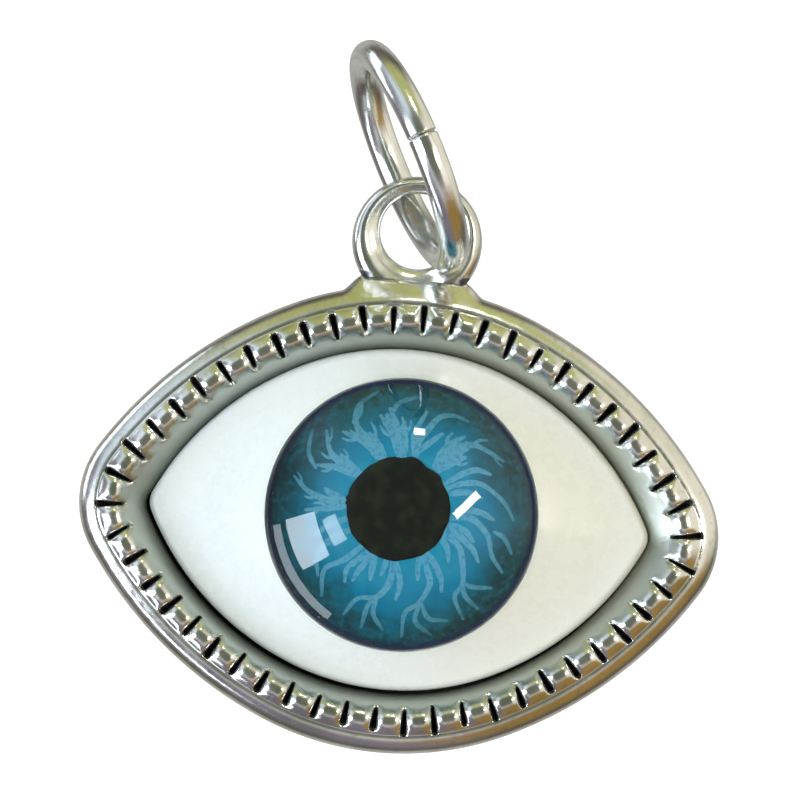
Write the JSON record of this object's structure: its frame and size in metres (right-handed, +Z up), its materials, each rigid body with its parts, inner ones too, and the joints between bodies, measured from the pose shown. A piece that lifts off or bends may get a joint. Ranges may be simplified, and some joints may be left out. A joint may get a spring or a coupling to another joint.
{
  "type": "eye charm pendant",
  "caption": "Almond-shaped metal bezel with a beaded rim holding a domed blue eye, with a bail loop and an open jump ring to hang it by.",
  "frame": {"origin": "the point on the inside of the jump ring's top where a chain or cord bears", "axes": "+Z up along the hanging charm, from the eye to the bail; -Y is the way the eye faces; +X to the right of someone who looks at the eye"},
  "size_m": [0.0241, 0.0092, 0.0266],
  "materials": {
    "plated_zinc": "bright silver plate with darkened recesses",
    "ring_steel": "polished round wire",
    "white_acrylic": "smooth opaque white acrylic",
    "iris_print": "blue printed disc under a clear dome",
    "pupil_ink": "black print, a little warm",
    "vein_ink": "pale blue printed lines",
    "clear_dome": "clear polished dome",
    "epoxy": "cured clear-yellow adhesive"
  },
  "bodies": {
    "ring": {"jump_ring": "ring_steel"},
    "pendant": {"bezel_frame": "plated_zinc", "bail_loop": "plated_zinc", "adhesive_bed": "epoxy", "eye_sclera": "white_acrylic", "iris_disc": "iris_print", "cornea_dome": "clear_dome"}
  },
  "joints": [
    {"name": "pendant_swing", "type": "hinge", "parent": "ring", "child": "pendant", "pos_m": [0.00211, 0.00261, -0.00584], "axis": [0, 1, 0], "range_deg": [-136, 91]}
  ]
}
